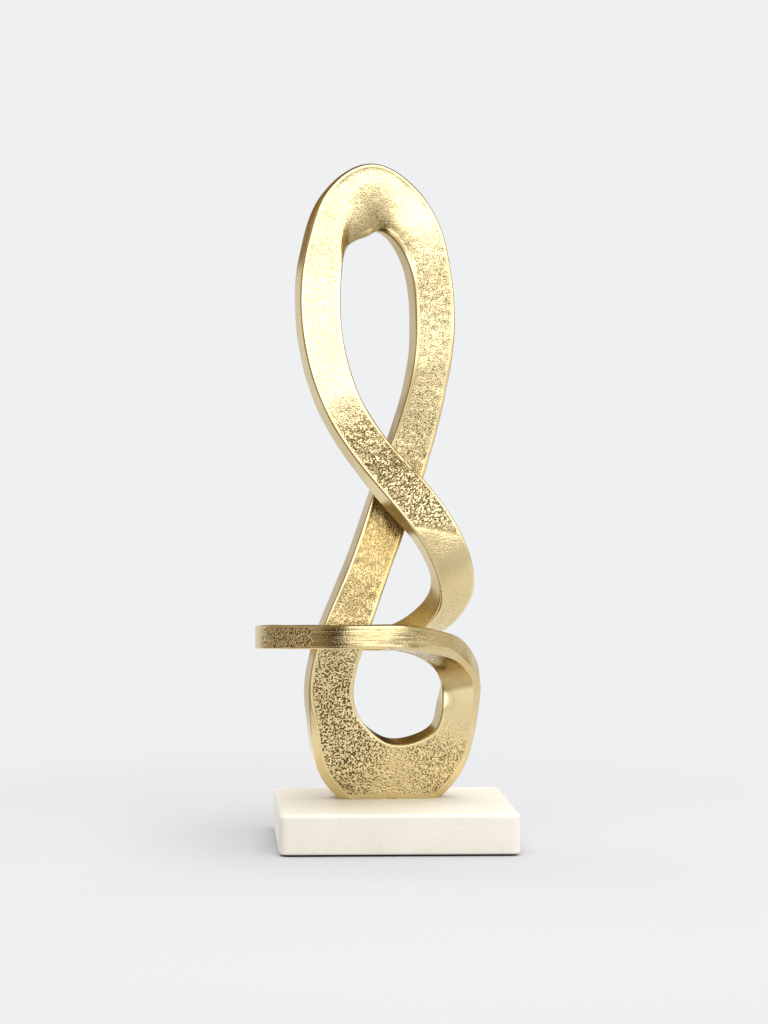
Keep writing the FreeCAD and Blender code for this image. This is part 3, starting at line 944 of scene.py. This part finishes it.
def pale_floor():
    """Plain pale table top, which runs out into the same pale tone as the background. In the metal's
    mirror rays it glows in that tone instead of being lit, with a painted pool of light that makes it a
    little brighter near the base."""
    bm = bmesh.new()
    bmesh.ops.create_grid(bm, x_segments=1, y_segments=1, size=FLOOR_SIZE / 2)
    floor = stage_object("floor", bm)
    material, tree, output = new_material("pale_table_paint")
    place = add(tree, "ShaderNodeTexCoord").outputs["Object"]
    away = add(tree, "ShaderNodeVectorMath", {0: place}, operation="LENGTH")
    faded = add(tree, "ShaderNodeMapRange", {
        "Value": away.outputs["Value"], "From Min": FLOOR_FADE[0], "From Max": FLOOR_FADE[1]},
        interpolation_type="SMOOTHSTEP")
    plain = add(tree, "ShaderNodeMath", {
        0: faded.outputs[0], 1: background_rays(tree)}, operation="MULTIPLY")
    glossy = add(tree, "ShaderNodeLightPath").outputs["Is Glossy Ray"]
    share = add(tree, "ShaderNodeMath", {0: plain.outputs[0], 1: glossy}, operation="MAXIMUM")
    near = add(tree, "ShaderNodeMath", {0: 1.0, 1: faded.outputs[0]}, operation="SUBTRACT")
    mirrored = add(tree, "ShaderNodeMath", {0: near.outputs[0], 1: glossy}, operation="MULTIPLY")
    # Painted pool of light: mirror rays see the floor glowing brighter near the base
    mirrored_glow = add(tree, "ShaderNodeMath", {
        0: mirrored.outputs[0], 1: FLOOR_MIRRORED_GLOW, 2: 1.0}, operation="MULTIPLY_ADD")
    paint = add(tree, "ShaderNodeBsdfPrincipled", {
        "Base Color": linear(FLOOR_PALE), "Roughness": FLOOR_ROUGHNESS, "Specular IOR Level": 0.0})
    distance = add(tree, "ShaderNodeEmission", {
        "Color": linear(STUDIO_PALE), "Strength": mirrored_glow.outputs[0]})
    finish_with(tree, output, add(tree, "ShaderNodeMixShader", {
        0: share.outputs[0], 1: paint.outputs[0], 2: distance.outputs[0]}))
    floor.data.materials.append(material)


def pale_world():
    """Dim even air that fills the shadows a little, behind which the pale background shows."""
    world = bpy.data.worlds.new("studio_air")
    bpy.context.scene.world = world
    world.use_nodes = True
    tree = world.node_tree
    tree.nodes.clear()
    ambient = add(tree, "ShaderNodeBackground", {"Color": linear(AMBIENT_WHITE), "Strength": AMBIENT})
    seen = add(tree, "ShaderNodeBackground", {"Color": linear(STUDIO_PALE), "Strength": 1.0})
    mixed = add(tree, "ShaderNodeMixShader", {
        0: background_rays(tree), 1: ambient.outputs[0], 2: seen.outputs[0]})
    output = add(tree, "ShaderNodeOutputWorld")
    tree.links.new(mixed.outputs[0], output.inputs["Surface"])


def direction(turn_degrees, rise_degrees):
    """Direction turned to the right from straight in front of the knot, and raised."""
    turn, rise = math.radians(turn_degrees), math.radians(rise_degrees)
    return Vector((math.sin(turn) * math.cos(rise), -math.cos(turn) * math.cos(rise), math.sin(rise)))


def soft_lamp(name, turn, rise, away, size, brightness, mirrored=True):
    """A flat soft lamp that looks at the knot. Its brightness is how it shows in a mirror."""
    lamp = bpy.data.lights.new(name, "AREA")
    lamp.shape = "RECTANGLE"
    lamp.size, lamp.size_y = size
    lamp.energy = brightness * math.pi * size[0] * size[1]
    holder = bpy.data.objects.new(name, lamp)
    bpy.context.scene.collection.objects.link(holder)
    outwards = direction(turn, rise)
    holder.location = Vector(KNOT_MIDDLE) + outwards * away
    holder.rotation_euler = outwards.to_track_quat("Z", "Y").to_euler()
    holder.visible_camera = False
    holder.visible_glossy = mirrored


def glowing_card(name, bm, colour):
    """Finishes a card that glows evenly in its colour and that only the polished metal sees, so that it
    mirrors as a dimmer part of the room.
    """
    card = stage_object(name, bm)
    material, tree, output = new_material(name + "_face")
    finish_with(tree, output, add(tree, "ShaderNodeEmission", {
        "Color": linear(colour), "Strength": 1.0}))
    card.data.materials.append(material)
    card.visible_camera = False
    card.visible_diffuse = False
    card.visible_shadow = False


def bent_card(name, turns, profile, colour):
    """Card bent round the knot. Its profile gives how far out and how high each of its bends lies."""
    bm = bmesh.new()
    start = direction(turns[0], 0)
    bends = [bm.verts.new((start.x * away, start.y * away, height)) for away, height in profile]
    edges = [bm.edges.new(pair) for pair in zip(bends, bends[1:])]
    bmesh.ops.spin(bm, geom=bends + edges, cent=(0, 0, 0), axis=(0, 0, 1), steps=CARD_STEPS,
                   angle=math.radians(turns[1] - turns[0]), use_duplicate=False)
    glowing_card(name, bm, colour)


def ceiling_card():
    """Level card above the knot, glowing dim brown, which only the metal mirrors."""
    bm = bmesh.new()
    bmesh.ops.create_grid(bm, x_segments=1, y_segments=1, size=CEILING_SIZE / 2,
                          matrix=Matrix.Translation((0, 0, CEILING_HEIGHT)))
    glowing_card("ceiling_card", bm, CEILING_BROWN)


def take_camera():
    """Camera at the photograph's viewing angle, level but for a slight nod and roll."""
    camera = bpy.data.cameras.new("camera")
    camera.lens = CAMERA_LENS
    camera.sensor_width = CAMERA_SENSOR
    camera.sensor_fit = "AUTO"
    holder = bpy.data.objects.new("camera", camera)
    bpy.context.scene.collection.objects.link(holder)
    turned = Matrix.Rotation(-CAMERA_TURN, 4, "Z") @ Matrix.Rotation(math.pi / 2 - CAMERA_NOD, 4, "X")
    placed = Matrix.Translation(CAMERA_PLACE) @ turned
    holder.matrix_world = placed @ Matrix.Rotation(CAMERA_ROLL, 4, "Z")
    bpy.context.scene.camera = holder


def dress(node, material):
    """Gives a CAD node its material."""
    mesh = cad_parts[node].data
    mesh.materials.clear()
    mesh.materials.append(material)


knot = cast_knot()
knot.data.materials.append(sand_cast_gold())
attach(knot, "root")
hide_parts("knot_casting")

dress("marble_base", honed_marble())
dress("felt_pad", needled_felt())
zinc = zinc_plated_steel()
for fixing in ("stud", "washer", "nut"):
    for side in ("left", "right"):
        dress(side + "_" + fixing, zinc)

pale_floor()
pale_world()
for name, lamp in LAMPS.items():
    soft_lamp(name, **lamp)
for name, card in CARDS.items():
    bent_card(name, **card)
ceiling_card()
take_camera()
bpy.context.scene.view_settings.view_transform = "Standard"
